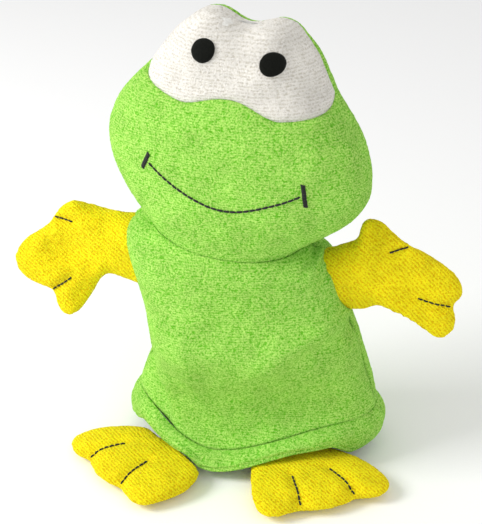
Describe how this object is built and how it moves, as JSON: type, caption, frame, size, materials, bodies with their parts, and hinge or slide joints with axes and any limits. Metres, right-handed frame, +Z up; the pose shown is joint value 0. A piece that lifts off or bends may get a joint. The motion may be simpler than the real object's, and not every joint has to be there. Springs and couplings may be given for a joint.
{
  "type": "hand puppet",
  "caption": "Frog glove puppet in terry cloth with a stuffed head, finger pocket, glove arms with three-fingered hands and padded feet.",
  "frame": {"origin": "on the table, under the middle of the puppet's bounding box", "axes": "+Z up from the hem to the head, the puppet faces -Y, +X is the puppet's own left"},
  "size_m": [0.2408, 0.1267, 0.2377],
  "materials": {
    "green_terry": "looped terry, fresh green",
    "yellow_terry": "looped terry, warm yellow",
    "white_terry": "looped terry, off-white",
    "black_felt": "pressed felt, black",
    "black_thread": "cotton embroidery thread, black",
    "green_thread": "polyester sewing thread and tape, green",
    "fibre_filling": "loose polyester fibre filling, white",
    "cotton_lining": "plain woven cotton, off-white"
  },
  "bodies": {
    "glove": {"body_front_panel": "green_terry", "body_back_panel": "green_terry", "hem_front": "green_terry", "hem_back": "green_terry", "hem_stitching": "green_thread", "side_seam_left": "green_terry", "side_seam_right": "green_terry"},
    "neck": {"neck_seam": "green_thread", "neck_tube": "green_terry"},
    "head": {"face_panel": "green_terry", "eye_panel": "white_terry", "head_back_panel": "green_terry", "head_stuffing": "fibre_filling", "finger_pocket": "cotton_lining", "pupil_left": "black_felt", "pupil_right": "black_felt", "mouth_thread": "black_thread", "mouth_corner_left": "black_thread", "mouth_corner_right": "black_thread"},
    "sleeve_left": {"sleeve_left": "yellow_terry"},
    "hand_left": {"hand_left_front": "yellow_terry", "hand_left_back": "yellow_terry", "finger_stitch_left_upper": "black_thread", "finger_stitch_left_lower": "black_thread"},
    "foot_left": {"foot_left_top": "yellow_terry", "foot_left_sole": "yellow_terry", "foot_left_stuffing": "fibre_filling", "toe_stitch_left_outer": "black_thread", "toe_stitch_left_inner": "black_thread"},
    "sleeve_right": {"sleeve_right": "yellow_terry"},
    "hand_right": {"hand_right_front": "yellow_terry", "hand_right_back": "yellow_terry", "finger_stitch_right_upper": "black_thread", "finger_stitch_right_lower": "black_thread"},
    "foot_right": {"foot_right_top": "yellow_terry", "foot_right_sole": "yellow_terry", "foot_right_stuffing": "fibre_filling", "toe_stitch_right_outer": "black_thread", "toe_stitch_right_inner": "black_thread"}
  },
  "joints": [
    {"name": "head_nod", "type": "hinge", "parent": "glove", "child": "neck", "pos_m": [-0.0022, 0.0202, 0.1275], "axis": [1, 0, 0], "range_deg": [-20, 28], "stiffness_Nm_per_rad": 0.12, "deforming": ["neck_tube", "neck_seam"]},
    {"name": "head_tilt", "type": "hinge", "parent": "neck", "child": "head", "pos_m": [-0.0022, 0.0202, 0.1275], "axis": [0, 1, 0], "range_deg": [-15, 10], "stiffness_Nm_per_rad": 0.12},
    {"name": "arm_raise_left", "type": "hinge", "parent": "glove", "child": "sleeve_left", "pos_m": [0.0583, 0.0202, 0.1015], "axis": [0, -1, 0], "range_deg": [-28, 10], "stiffness_Nm_per_rad": 0.03, "deforming": ["sleeve_left"]},
    {"name": "arm_raise_right", "type": "hinge", "parent": "glove", "child": "sleeve_right", "pos_m": [-0.0557, 0.0202, 0.108], "axis": [0, 1, 0], "range_deg": [-28, 28], "stiffness_Nm_per_rad": 0.03, "deforming": ["sleeve_right"]},
    {"name": "arm_swing_left", "type": "hinge", "parent": "sleeve_left", "child": "hand_left", "pos_m": [0.0668, 0.0112, 0.1055], "axis": [0.1724, 0, -0.985], "range_deg": [0, 70], "stiffness_Nm_per_rad": 0.03},
    {"name": "arm_swing_right", "type": "hinge", "parent": "sleeve_right", "child": "hand_right", "pos_m": [-0.0677, 0.0112, 0.111], "axis": [0, 0, 1], "range_deg": [0, 70], "stiffness_Nm_per_rad": 0.03},
    {"name": "foot_swing_left", "type": "hinge", "parent": "glove", "child": "foot_left", "pos_m": [0.0376, -0.009, 0.01], "axis": [0.8904, 0.4552, 0], "range_deg": [-8, 60]},
    {"name": "foot_swing_right", "type": "hinge", "parent": "glove", "child": "foot_right", "pos_m": [-0.0291, -0.0136, 0.01], "axis": [0.7878, -0.6159, 0], "range_deg": [-8, 48]}
  ]
}
